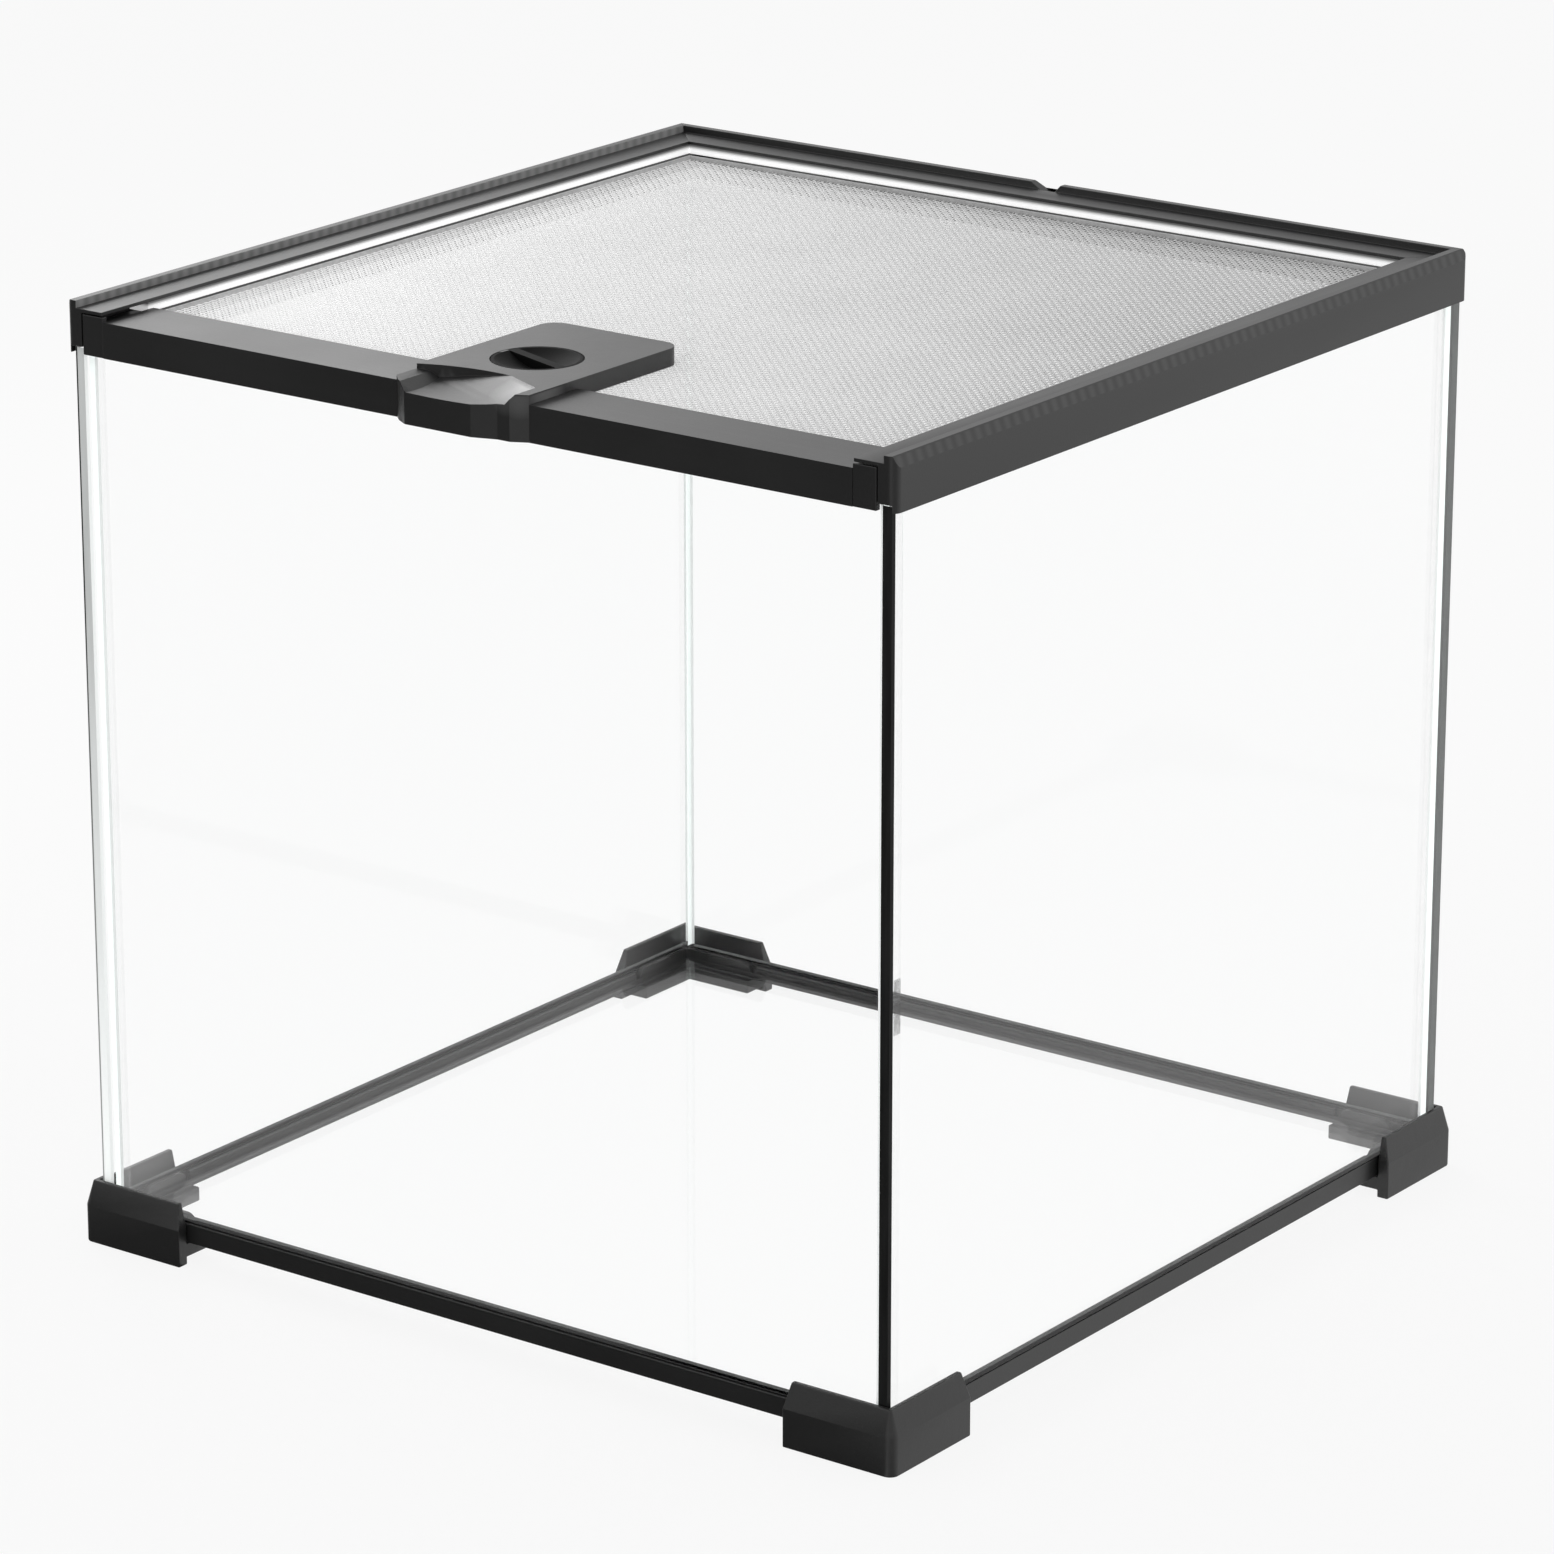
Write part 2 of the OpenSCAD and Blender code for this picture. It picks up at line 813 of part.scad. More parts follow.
// Space of the finger dish: a curved floor that is deepest at the front left, sloping
// ends and a curved rear wall
module dish_space() {
    front = -half_d - nose_d;
    intersection() {
        translate([0, front - dish_out, z_plate_top - dish_depth + dish_r])
            rotate([0, 0, -dish_turn])
                rotate([0, 90, 0])
                    cylinder(r = dish_r, h = 6 * plate_hw, center = true, $fn = 240);
        translate([0, front + dish_len + 1, 0])
            rotate([90, 0, 0])
                linear_extrude(dish_len + 3)
                    polygon([
                        [-plate_hw - 1, z_plate_top - 0.8],
                        [-plate_hw + 2.6, z_plate_top - 1.3],
                        [-plate_hw + 5.8, z_plate_top - dish_depth - 0.4],
                        [dish_right - 3.4, z_plate_top - dish_depth - 0.4],
                        [dish_right, z_plate_top],
                        [dish_right, z_plate_top + 1],
                        [-plate_hw - 1, z_plate_top + 1]
                    ]);
        translate([0, front + dish_len - dish_wall_r, z_mesh_top])
            cylinder(r = dish_wall_r, h = plate_t + 5, $fn = 240);
    }
}

// Plate that carries the knob, clips into the front bar and hooks over its face
module lock_plate() {
    block_hw = notch_hw - fit_play;
    color(black)
        difference() {
            union() {
                translate([0, 0, z_front_top])
                    linear_extrude(z_plate_top - z_front_top)
                        union() {
                            plate_plan();
                            nose_plan();
                        }
                translate([0, 0, z_mesh_top])
                    linear_extrude(z_front_top - z_mesh_top + eps)
                        union() {
                            intersection() {
                                plate_plan();
                                translate([-plate_hw, fit_play - lid_in_front])
                                    square([2 * plate_hw, plate_len]);
                            }
                            translate([-block_hw, -half_d]) square([2 * block_hw, front_bar_d + 1]);
                        }
                translate([0, 0, z_skirt])
                    linear_extrude(z_front_top - z_skirt + eps)
                        nose_plan();
                translate([0, knob_y, z_collar])
                    cylinder(r = collar_r, h = z_mesh_top - z_collar + eps);
            }
            translate([0, knob_y, z_pocket]) cylinder(r = pocket_r, h = plate_t);
            translate([0, knob_y, z_collar - 1]) cylinder(r = bore_r, h = plate_t + 3);
            dish_space();
            for (side = [-1, 1])
                translate([side * nose_screw_x, 1 - half_d, z_nose_screw])
                    rotate([90, 0, 0])
                        cylinder(r = screw_r + fit_play / 2, h = nose_d);
            translate([0, rear_screw_y, z_mesh_top - 1])
                cylinder(r = screw_r + fit_play / 2, h = plate_t);
        }
}

// Screw with a flat round head; the shank points to +Z from the head's seat at z = 0
module pan_screw(length) {
    union() {
        translate([0, 0, -head_t]) cylinder(r = head_r, h = head_t);
        translate([0, 0, -eps]) cylinder(r = screw_r, h = length + eps);
    }
}

// Two screws into the nose and one at the rear of the plate
module lock_screws() {
    color(steel)
        union() {
            for (side = [-1, 1])
                translate([side * nose_screw_x, front_wall_t - half_d, z_nose_screw])
                    rotate([90, 0, 0])
                        pan_screw(front_wall_t + nose_d - 1.2);
            translate([0, rear_screw_y, z_mesh - backing_t])
                pan_screw(backing_t + mesh_t + plate_t - 1.2);
        }
}

// Washer under the net at the rear screw
module backing_washer() {
    color(black)
        translate([0, rear_screw_y, z_mesh - backing_t])
            difference() {
                cylinder(r = backing_r, h = backing_t);
                translate([0, 0, -1]) cylinder(r = screw_r + fit_play, h = backing_t + 2);
            }
}

// Turning knob: a bowl with a grip across it, and a spindle with a square key below
module lock_knob() {
    sphere_r = (bowl_r * bowl_r + bowl_depth * bowl_depth) / (2 * bowl_depth);
    color(black)
        translate([0, knob_y, 0])
            difference() {
                union() {
                    translate([0, 0, z_knob]) cylinder(r = knob_r, h = knob_t);
                    translate([0, 0, z_cam_top]) cylinder(r = spindle_r, h = z_knob - z_cam_top + eps);
                    rotate([0, 0, cam_angle])
                        translate([-key_w / 2, -key_w / 2, z_cam_top - key_h])
                            cube([key_w, key_w, key_h + eps]);
                }
                difference() {
                    translate([0, 0, z_plate_top - bowl_depth + sphere_r])
                        sphere(r = sphere_r, $fn = 240);
                    rotate([0, 0, grip_angle])
                        translate([-bowl_r - 1, -grip_w / 2, z_knob])
                            cube([2 * bowl_r + 2, grip_w, knob_t]);
                }
                translate([0, 0, z_cam_top - key_h - 1])
                    cylinder(r = screw_r + fit_play / 2, h = z_knob - z_cam_top + key_h + 0.6);
            }
}

// Cam under the net: a hub and one arm
module lock_cam() {
    color(steel)
        translate([0, knob_y, z_bar])
            rotate([0, 0, cam_angle])
                difference() {
                    union() {
                        cylinder(r = cam_hub_r, h = cam_t);
                        intersection() {
                            translate([0, -cam_w / 2, 0]) cube([cam_reach + 1, cam_w, cam_t]);
                            cylinder(r = cam_reach, h = cam_t);
                        }
                    }
                    translate([-key_w / 2 - fit_play, -key_w / 2 - fit_play, cam_t - key_h])
                        cube([key_w + 2 * fit_play, key_w + 2 * fit_play, key_h + 1]);
                    translate([0, 0, -eps])
                        cylinder(r1 = screw_r + key_h + fit_play, r2 = screw_r + fit_play, h = key_h + 2 * eps);
                }
}

// Thin washer round the spindle between the cam and the plate's collar
module cam_washer() {
    color(steel)
        translate([0, knob_y, z_cam_top])
            difference() {
                cylinder(r = washer_r, h = washer_t);
                translate([0, 0, -1]) cylinder(r = bore_r, h = washer_t + 2);
            }
}

// Countersunk screw that holds the cam on the spindle
module cam_screw() {
    color(steel)
        translate([0, knob_y, z_bar])
            union() {
                cylinder(r1 = screw_r + key_h, r2 = screw_r, h = key_h);
                cylinder(r = screw_r, h = z_knob - z_bar - 1);
            }
}

front_pane();
back_pane();
left_pane();
right_pane();
base_pane();
seal_front_left();
seal_front_right();
seal_back_left();
seal_back_right();
base_seal();
left_rail();
right_rail();
back_rail();
front_sill();
lock_keeper();
left_slide_strip();
right_slide_strip();
back_slide_strip();
front_base_strip();
back_base_strip();
left_base_strip();
right_base_strip();
foot_front_left();
foot_front_right();
foot_back_left();
foot_back_right();
lid_front_bar();
lid_end_caps();
lid_back_bar();
lid_left_bar();
lid_right_bar();
lid_mesh();
mesh_strip_front();
lock_plate();
lock_screws();
backing_washer();
lock_knob();
lock_cam();
cam_washer();
cam_screw();
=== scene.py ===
# %% [markdown]
# A small glass terrarium: four upright panes on a base pane, black plastic rails round the top,
# thin strips and L-shaped feet round the bottom, and a mesh lid that slides in the rails and
# locks with a round knob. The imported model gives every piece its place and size. This notebook
# gives the pieces their rounded edges, their fine mesh and their finishes.

# %% Load the frame
import json
import math

import bmesh
import bpy
from mathutils import Matrix, Vector


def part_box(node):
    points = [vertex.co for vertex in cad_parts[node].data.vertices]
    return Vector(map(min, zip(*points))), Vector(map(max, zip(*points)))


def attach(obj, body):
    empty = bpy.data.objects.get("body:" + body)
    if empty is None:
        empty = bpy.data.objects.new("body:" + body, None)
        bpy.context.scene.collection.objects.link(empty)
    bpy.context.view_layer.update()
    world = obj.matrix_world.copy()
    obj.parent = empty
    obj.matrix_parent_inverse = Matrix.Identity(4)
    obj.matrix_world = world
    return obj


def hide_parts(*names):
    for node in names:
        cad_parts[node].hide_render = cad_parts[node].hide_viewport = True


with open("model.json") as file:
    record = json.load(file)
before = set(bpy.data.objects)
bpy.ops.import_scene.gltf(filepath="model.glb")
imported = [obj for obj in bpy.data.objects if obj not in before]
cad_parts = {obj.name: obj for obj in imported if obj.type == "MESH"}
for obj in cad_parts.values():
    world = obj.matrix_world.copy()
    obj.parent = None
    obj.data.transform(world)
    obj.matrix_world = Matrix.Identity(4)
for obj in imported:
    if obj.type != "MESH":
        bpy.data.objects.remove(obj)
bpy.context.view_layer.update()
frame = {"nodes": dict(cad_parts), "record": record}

MM = 0.001

# %% [markdown]
# The camera comes first, because the size of the smallest detail worth making follows from it.
# A long lens far away keeps the upright edges almost parallel, as a product photograph does.
# The camera circles a target at the height where the picture's centre meets the tank.

# %% Camera
LENS_MM = 155.84
SENSOR_MM = 36.0
DISTANCE = 1.37295
AZIMUTH = math.radians(36.389)
ELEVATION = math.radians(17.968)
TARGET = Vector((-0.0002, 0.0, 0.0929))

away = Vector((
    math.sin(AZIMUTH) * math.cos(ELEVATION),
    -math.cos(AZIMUTH) * math.cos(ELEVATION),
    math.sin(ELEVATION),
))
camera = bpy.data.objects.new("camera", bpy.data.cameras.new("camera"))
camera.data.lens = LENS_MM
camera.data.sensor_width = SENSOR_MM
camera.data.clip_start = 0.01
camera.location = TARGET + away * DISTANCE
camera.rotation_euler = away.to_track_quat("Z", "Y").to_euler()
bpy.context.scene.collection.objects.link(camera)
bpy.context.scene.camera = camera
print("camera", [round(value, 4) for value in camera.location])

# %% [markdown]
# Finishes are node trees, and shader maths reads best as arithmetic. A Wire wraps one socket, so
# that 1 - mask or noise * 0.3 adds the Math node by itself. Every other node comes from one
# method, add, which takes the node's type, its settings and what goes into its sockets. The
# shorter helpers below only fill in add for the few nodes that come back in every finish.

# %% Shader helpers
EVEN = (1.0, 1.0, 1.0)


def grey(level):
    """A neutral colour of one linear level."""
    return (level, level, level, 1.0)


class Wire:
    """One output socket, with arithmetic that adds Math nodes."""

    def __init__(self, nodes, socket):
        self.nodes = nodes
        self.socket = socket

    def __add__(self, other):
        return self.nodes.math("ADD", self, other)

    def __sub__(self, other):
        return self.nodes.math("SUBTRACT", self, other)

    def __rsub__(self, other):
        return self.nodes.math("SUBTRACT", other, self)

    def __mul__(self, other):
        return self.nodes.math("MULTIPLY", self, other)


class Nodes:
    """The node tree of a material or a world."""

    def __init__(self, tree):
        self.tree = tree

    def add(self, kind, settings=None, inputs=None, output=0):
        node = self.tree.nodes.new("ShaderNode" + kind)
        for key, value in (settings or {}).items():
            setattr(node, key, value)
        for key, value in (inputs or {}).items():
            if isinstance(value, Wire):
                self.tree.links.new(value.socket, node.inputs[key])
            else:
                node.inputs[key].default_value = value
        return Wire(self, node.outputs[output])

    def math(self, operation, first, second):
        return self.add("Math", {"operation": operation}, {0: first, 1: second})

    def mix(self, factor, first, second):
        return self.add("MixShader", {}, {0: factor, 1: first, 2: second})

    def is_ray(self, kind):
        """1 for rays of one kind, else 0."""
        return self.add("LightPath", output="Is " + kind + " Ray")


class Finish(Nodes):
    """A material with a Principled shader and helpers to wire its nodes."""

    def __init__(self, name, **uniform):
        self.material = bpy.data.materials.new(name)
        self.material.use_nodes = True
        super().__init__(self.material.node_tree)
        self.shader = self.tree.nodes["Principled BSDF"]
        for socket, value in uniform.items():
            self.shader.inputs[socket.replace("_", " ")].default_value = value
        self.place = self.add("TexCoord", output="Object")

    def along(self, axis):
        """How far along X, Y or Z a point is."""
        return self.add("SeparateXYZ", {}, {0: self.place}, axis)

    def noise(self, scale, detail, stretch=EVEN):
        place = self.add("Mapping", {}, {"Vector": self.place, "Scale": stretch})
        return self.add("TexNoise", {}, {"Vector": place, "Scale": scale, "Detail": detail})

    def ramp(self, value, start, end, top=1.0, kind="LINEAR"):
        """0 before start and top after end, with a change of one kind between them."""
        limits = {0: value, 1: start, 2: end, 3: 0.0, 4: top}
        return self.add("MapRange", {"interpolation_type": kind}, limits)

    def blend(self, factor, first, second):
        return self.add("Mix", {"data_type": "RGBA"}, {0: factor, 6: first, 7: second}, 2)

    def glow(self, level, strength=1.0):
        return self.add("Emission", {}, {"Color": grey(level), "Strength": strength})

    def bump(self, height, strength, distance):
        normal = self.add("Bump", {}, {"Height": height, "Strength": strength, "Distance": distance})
        self.feed(Normal=normal)

    def feed(self, **wires):
        for socket, wire in wires.items():
            self.tree.links.new(wire.socket, self.shader.inputs[socket.replace("_", " ")])

    def show(self, shader):
        """Puts a mixed shader in the place of the Principled one."""
        self.tree.links.new(shader.socket, self.tree.nodes["Material Output"].inputs["Surface"])


print("shader helpers ready")

# %% [markdown]
# The black plastic is moulded or extruded ABS: a deep neutral black with a fine satin grain.
# One flat colour would look like paper, so three noises work at three scales. A very fine one
# gives the mould's grain in the bump, a middle one lets the gloss vary as handled plastic does,
# and a long one drawn out along a bar gives the faint lines that an extruder's die leaves.
# Two places differ from the rest, and both are painted light. The finger dish of the latch plate has
# a painted highlight: its colour is paler at its right end, where the dish catches the daylight. The
# side rails' lips are finely ribbed, with a paler tone and paler crests that are painted light, after
# a pattern in the photo that may be real ribs, or only the steps of a slanted edge in an enlarged
# picture.

# %% Black plastic
BLACK_LEVEL = 0.011
EXTRUDED_ROUGHNESS = 0.40
MOULDED_ROUGHNESS = 0.42
DRAWN_OUT = 0.02
# Painted highlight: the finger dish is painted paler round a glint point at its right end.
GLINT_LEVEL = 0.24
GLINT_CORE = 1.5 * MM
GLINT_REACH = 7.5 * MM
RIB_PITCH = 3.1 * MM
# Painted light: the rib tones are far paler than black plastic on the left lip, and the crests paler
# than the valleys.
LEFT_VALLEY, LEFT_CREST = 0.180, 0.270
RIGHT_VALLEY, RIGHT_CREST = 0.014, 0.034
plate_low, plate_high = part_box("lock_plate")
dish_end = (11.5 * MM, plate_low.y + 8.4 * MM, plate_high.z - 1.2 * MM)


def black_plastic(name, level, roughness, stretch=EVEN, specular=0.5, glint=None):
    """Fine satin plastic; near a glint point, below the latch plate's top, a painted highlight makes
    it paler.
    """
    finish = Finish(name, Roughness=roughness, Specular_IOR_Level=specular)
    grain = finish.noise(2600.0, 3.0)
    cloud = finish.noise(38.0, 3.0)
    drawn = finish.noise(420.0, 2.0, stretch)
    shade = finish.blend(cloud, grey(level * 0.8), grey(level * 1.25))
    # Painted highlight: the base colour turns paler round the glint point.
    if glint is not None:
        away = finish.add("VectorMath", {"operation": "DISTANCE"}, {0: finish.place, 1: glint}, 1)
        near = finish.ramp(away, GLINT_REACH, GLINT_CORE)
        sunk = finish.ramp(finish.along("Z"), plate_high.z - 0.1 * MM, plate_high.z - 0.4 * MM)
        shade = finish.blend(near * sunk, shade, grey(GLINT_LEVEL))
    # Half of what the two noises add is 0.075, so the roughness varies round the given value.
    finish.feed(Base_Color=shade, Roughness=cloud * 0.10 + grain * 0.05 + (roughness - 0.075))
    finish.bump(grain * 0.45 + drawn * 0.55, 0.35, 0.12 * MM)
    return finish.material


def ribbed_plastic():
    """Fine cross ribs in painted light: the left rail is painted much paler than the right, and the
    crests paler than the valleys.
    """
    finish = Finish("black_plastic_ribbed", Roughness=0.55)
    rib = finish.math("SINE", finish.along("Y") * (2.0 * math.pi / RIB_PITCH), 0.0) * 0.5 + 0.5
    right = finish.ramp(finish.along("X"), -0.05, 0.05)
    # Painted light: paler on the left rail than on the right, and paler on the crests.
    valley = finish.blend(right, grey(LEFT_VALLEY), grey(RIGHT_VALLEY))
    crest = finish.blend(right, grey(LEFT_CREST), grey(RIGHT_CREST))
    finish.feed(Base_Color=finish.blend(rib, valley, crest))
    finish.bump(rib, 0.3, 0.15 * MM)
    return finish.material


drawn_x = (DRAWN_OUT, 1.0, 1.0)
drawn_y = (1.0, DRAWN_OUT, 1.0)
plastic_x = black_plastic("black_plastic_along_x", BLACK_LEVEL, EXTRUDED_ROUGHNESS, drawn_x)
plastic_y = black_plastic("black_plastic_along_y", BLACK_LEVEL, EXTRUDED_ROUGHNESS, drawn_y)
plastic_moulded = black_plastic("black_plastic_moulded", BLACK_LEVEL, MOULDED_ROUGHNESS)
plastic_plate = black_plastic("black_plastic_plate", BLACK_LEVEL, MOULDED_ROUGHNESS, glint=dish_end)
plastic_ribbed = ribbed_plastic()
# Painted shade: the knob's bowl is darker and barely mirrors, to stay as dark as the shade in a
# hollow.
plastic_bowl_shade = black_plastic("black_plastic_bowl_shade", BLACK_LEVEL * 0.3, 0.6, specular=0.05)
print("black plastics", plastic_x.name, plastic_y.name, plastic_moulded.name, plastic_bowl_shade.name)

# %% [markdown]
# The slide strip is a white plastic that lets some light through, so a little glow stands for
# the light that comes from behind, and its top edge is darker, in the shade of the rail's ledge.
# The silicone is a nearly clear rubber, and the screws and the cam are plated steel. Each gets a
# base colour that varies a little, and a bump at the scale of its own surface.

# %% Pale strip, silicone and steel
STRIP_GLOW = 0.42
LEDGE_SHADE = 0.10
STEEL_LEVEL = 0.55


def pale_plastic():
    finish = Finish("pale_slide_strip", Roughness=0.35, Emission_Strength=STRIP_GLOW)
    cloud = finish.noise(60.0, 2.0)
    drawn = finish.noise(500.0, 2.0, (1.0, 0.05, 1.0))
    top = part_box("left_slide_strip")[1].z
    shade = finish.ramp(finish.along("Z"), top - 1.1 * MM, top - 0.3 * MM)
    white = finish.blend(cloud, grey(0.90), grey(0.96))
    tint = finish.blend(shade, white, grey(LEDGE_SHADE))
    finish.feed(Base_Color=tint, Emission_Color=tint, Roughness=cloud * 0.15 + 0.28)
    finish.bump(drawn, 0.15, 0.1 * MM)
    return finish.material


def clear_silicone():
    finish = Finish("clear_silicone", Roughness=0.25, IOR=1.41)
    cloud = finish.noise(220.0, 3.0)
    finish.feed(
        Base_Color=finish.blend(cloud, grey(0.85), grey(0.95)),
        Alpha=cloud * 0.05 + 0.01,
        Roughness=cloud * 0.2 + 0.15,
    )
    finish.bump(cloud, 0.3, 0.4 * MM)
    return finish.material


def plated_steel():
    finish = Finish("plated_steel", Metallic=1.0, Roughness=0.3)
    cloud = finish.noise(300.0, 2.0)
    brushed = finish.noise(900.0, 2.0, (1.0, 0.06, 1.0))
    finish.feed(
        Base_Color=finish.blend(cloud, grey(STEEL_LEVEL * 0.9), grey(STEEL_LEVEL * 1.1)),
        Roughness=brushed * 0.2 + 0.2,
    )
    finish.bump(brushed, 0.2, 0.08 * MM)
    return finish.material


strip_finish = pale_plastic()
silicone_finish = clear_silicone()
steel_finish = plated_steel()
print("strip, silicone and steel ready")

# %% [markdown]
# Clear glass needs care in a path tracer: light that reaches a surface through glass counts as a
# caustic and is mostly lost, so everything inside would turn dark. The usual cure is to let
# shadow rays pass, by mixing the glass with a transparent shader on Light Path's Is Shadow Ray.
# The refraction is weaker than that of real glass, so that the corners stay as quiet as in a product
# photograph. The two panes that face the camera carry a painted reflection: a faint white glow, mixed
# into the glass, lays a veil over what is seen through them, standing for the daylight they mirror.
# The cut edges are other finishes. Ground glass is rougher, and its edges carry painted light: it is
# painted dark where it faces the dark side of the set, and elsewhere painted pale with a little glow
# that stands for the light that the pane carries to its edge.

# %% Glass
SMUDGED = (0.994, 0.997, 0.996, 1.0)
CLEAN = (0.998, 0.999, 0.999, 1.0)
SEEN_THROUGH = (0.99, 0.993, 0.992, 1.0)
# Painted reflection: the veils mix this white glow into the front and right panes.
VEIL_LEVEL = 0.955
# Each veil is none_at, full_at and its share. They run along X in front and along Y on the right.
FRONT_VEILS = ((0.050, 0.028, 0.040), (-0.070, -0.092, 0.050))
RIGHT_VEILS = ((-0.11, -0.10, 0.038), (0.03, 0.095, 0.030))
# Painted light: the edges with a foot tone grow paler from EDGE_TOP down to EDGE_FOOT.
EDGE_TOP = 0.14
EDGE_FOOT = 0.02


def clear_glass(name, axis="X", veils=()):
    """Clear glass. Each veil is a painted reflection of daylight, a white glow that grows along the
    axis from none_at to full_at.
    """
    finish = Finish(name, Roughness=0.0, IOR=1.15, Specular_IOR_Level=0.3, Transmission_Weight=1.0)
    finish.feed(Base_Color=finish.blend(finish.noise(9.0, 2.0), SMUDGED, CLEAN))
    body = Wire(finish, finish.shader.outputs[0])
    # Painted reflection: the white glow is mixed in along each veil.
    for none_at, full_at, share in veils:
        amount = finish.ramp(finish.along(axis), none_at, full_at, share, "SMOOTHSTEP")
        body = finish.mix(amount, body, finish.glow(VEIL_LEVEL))
    through = finish.add("BsdfTransparent", {}, {"Color": SEEN_THROUGH})
    finish.show(finish.mix(finish.is_ray("Shadow"), body, through))
    return finish.material


def glass_tint(level):
    """The faint green of a cut pane at one linear level."""
    return (level, level * 1.03, level * 1.02, 1.0)


def ground_edge(name, low, high, glow=0.0, foot=None):
    """Ground glass between two tones, whose levels and glow are painted light; with a foot tone it
    grows paler down to the feet, also painted light.
    """
    finish = Finish(name, Roughness=0.35, IOR=1.5, Emission_Strength=glow)
    streak = finish.noise(700.0, 3.0, (1.0, 1.0, 0.08))
    tint = finish.blend(streak, glass_tint(low), glass_tint(high))
    if foot is not None:
        fall = finish.ramp(finish.along("Z"), EDGE_TOP, EDGE_FOOT)
        tint = finish.blend(fall, tint, glass_tint(foot))
    finish.feed(Base_Color=tint, Emission_Color=tint, Roughness=streak * 0.25 + 0.2)
    finish.bump(streak, 0.3, 0.1 * MM)
    return finish.material


glass_finish = clear_glass("clear_glass")
front_glass = clear_glass("clear_glass_front", "X", FRONT_VEILS)
right_glass = clear_glass("clear_glass_right", "Y", RIGHT_VEILS)
# Painted light: copies of one ground glass, painted dark, grey or pale, some with a glow, for the way
# each edge faces.
dark_edge = ground_edge("ground_edge_dark", 0.003, 0.012)
grey_edge = ground_edge("ground_edge_grey", 0.10, 0.20)
pale_edge = ground_edge("ground_edge_pale", 0.78, 0.86, glow=0.30)
soft_edge = ground_edge("ground_edge_soft", 0.01, 0.03, glow=0.10, foot=0.36)
faint_edge = ground_edge("ground_edge_faint", 0.38, 0.50, glow=0.30, foot=0.90)
glued_edge = ground_edge("ground_edge_glued", 0.84, 0.88, glow=0.34)
print("glass ready")

# %% [markdown]
# Pieces are finished in two ways. A plain extruded or moulded piece already has its exact shape
# in the frame, so a copy of its mesh is merged and cleaned, and a Bevel modifier breaks its
# edges, which is what catches the light on a real moulding. A piece with finer detail than that
# is modelled from scratch further on.

# %% Mesh helpers
FACET = math.radians(12.0)
FLAT = math.radians(1.0)
MERGE_WITHIN = 0.004 * MM


def body_of_node(node):
    bodies = frame["record"]["behaviour"]["bodies"]
    return next(name for name, members in bodies.items() if node in members)


def finished_piece(name, mesh, material, replaced):
    """Links a mesh as a piece that stands for CAD nodes and rides on their body."""
    piece = bpy.data.objects.new(name, mesh)
    bpy.context.scene.collection.objects.link(piece)
    mesh.materials.append(material)
    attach(piece, body_of_node(replaced[0]))
    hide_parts(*replaced)
    return piece


def mesh_from(bm, name, smooth=True):
    mesh = bpy.data.meshes.new(name)
    bm.to_mesh(mesh)
    bm.free()
    for face in mesh.polygons:
        face.use_smooth = smooth
    return mesh


def add_block(bm, low, high):
    """A cube scaled to the box between two corners."""
    verts = bmesh.ops.create_cube(bm, size=1.0)["verts"]
    bmesh.ops.scale(bm, vec=high - low, verts=verts)
    bmesh.ops.translate(bm, vec=(low + high) / 2, verts=verts)


def break_edges(bm, width, segments):
    edges = bm.edges[:]
    bmesh.ops.bevel(
        bm, geom=edges, offset=width, segments=segments, profile=0.5, affect="EDGES", material=-1
    )


def softened(node, material, width, facet=FACET):
    """A merged copy of a node's mesh, bevelled at every edge that is sharper than a facet."""
    bm = bmesh.new()
    bm.from_mesh(frame["nodes"][node].data)
    bmesh.ops.remove_doubles(bm, verts=bm.verts, dist=MERGE_WITHIN)
    bmesh.ops.dissolve_limit(bm, angle_limit=FLAT, verts=bm.verts, edges=bm.edges)
    piece = finished_piece(node + "_rounded", mesh_from(bm, node), material, [node])
    for face in piece.data.polygons:
        face.material_index = 0
    piece.data.set_sharp_from_angle(angle=facet)
    bevel = piece.modifiers.new("rounded_edges", "BEVEL")
    bevel.width = width
    bevel.segments = 2
    bevel.limit_method = "ANGLE"
    bevel.angle_limit = facet
    bevel.harden_normals = True
    return piece


def give_faces(piece, material, chosen):
    """Gives a second material to the faces that a test picks."""
    piece.data.materials.append(material)
    for face in piece.data.polygons:
        if chosen(face):
            face.material_index = 1


print("mesh helpers ready")

# %% [markdown]
# The rails, the base strips and the lid's bars are extrusions. Their die lines run along the bar, so
# each direction has its own finish, and the edges get a radius of a fifth of a millimetre. The feet
# and the lock plate are mouldings with slightly softer edges. The ribs, with painted light on them,
# lie on the inner side of the left rail's lip and on the right rail's chamfer. The bowl round the
# knob's grip has painted shade: a darker, matt finish keeps it as dark as the shade in a hollow.

